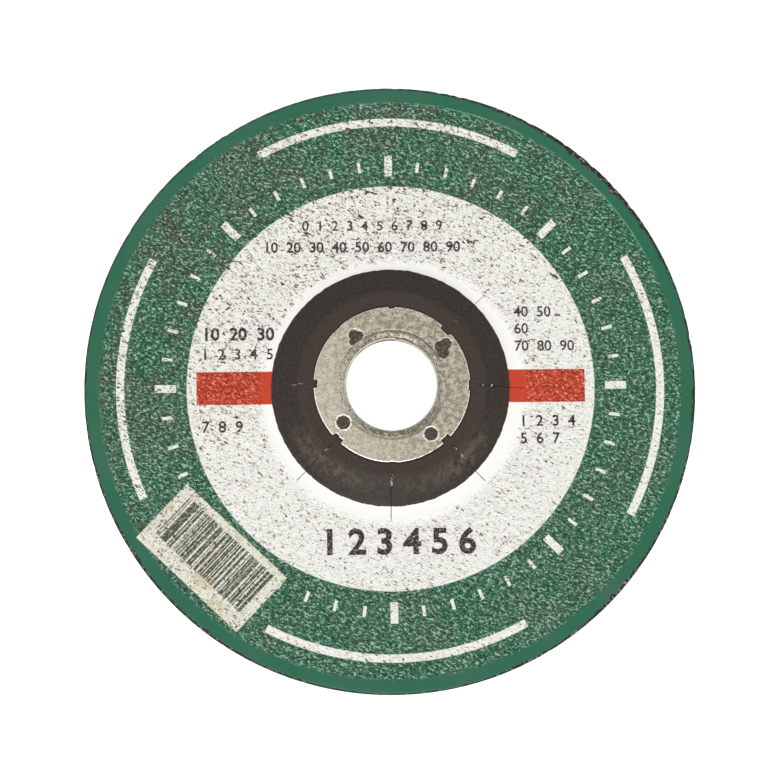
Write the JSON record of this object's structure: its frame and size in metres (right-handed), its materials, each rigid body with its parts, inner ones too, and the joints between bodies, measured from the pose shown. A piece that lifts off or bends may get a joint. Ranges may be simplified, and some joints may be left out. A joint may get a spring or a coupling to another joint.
{
  "type": "abrasive cut-off disc",
  "caption": "Depressed-centre reinforced cut-off disc for stone with a raised hub, a paper label and a flanged steel bore ring.",
  "frame": {"origin": "on the bore's axis, in the plane of the flat back face of the cutting rim", "axes": "+Z along the bore's axis towards the raised hub and the label; +X through the first notch of the bore ring, along the label's coloured stripe"},
  "size_m": [0.15, 0.15, 0.0082],
  "materials": {
    "printed_label": "printed, matt, pitted by the grit under it",
    "abrasive_mix": "coarse dark grit in cured resin",
    "glass_cloth": "resin-soaked glass yarn, slightly glossy",
    "steel_ring": "dull stamped sheet with bright worn edges"
  },
  "bodies": {
    "root": {"front_label": "printed_label", "front_glass_cloth": "glass_cloth", "hub_glass_patch": "glass_cloth", "abrasive_body": "abrasive_mix", "back_net_weft": "glass_cloth", "back_net_warp": "glass_cloth", "arbor_ring": "steel_ring", "anchor_keys": "abrasive_mix"}
  },
  "joints": []
}
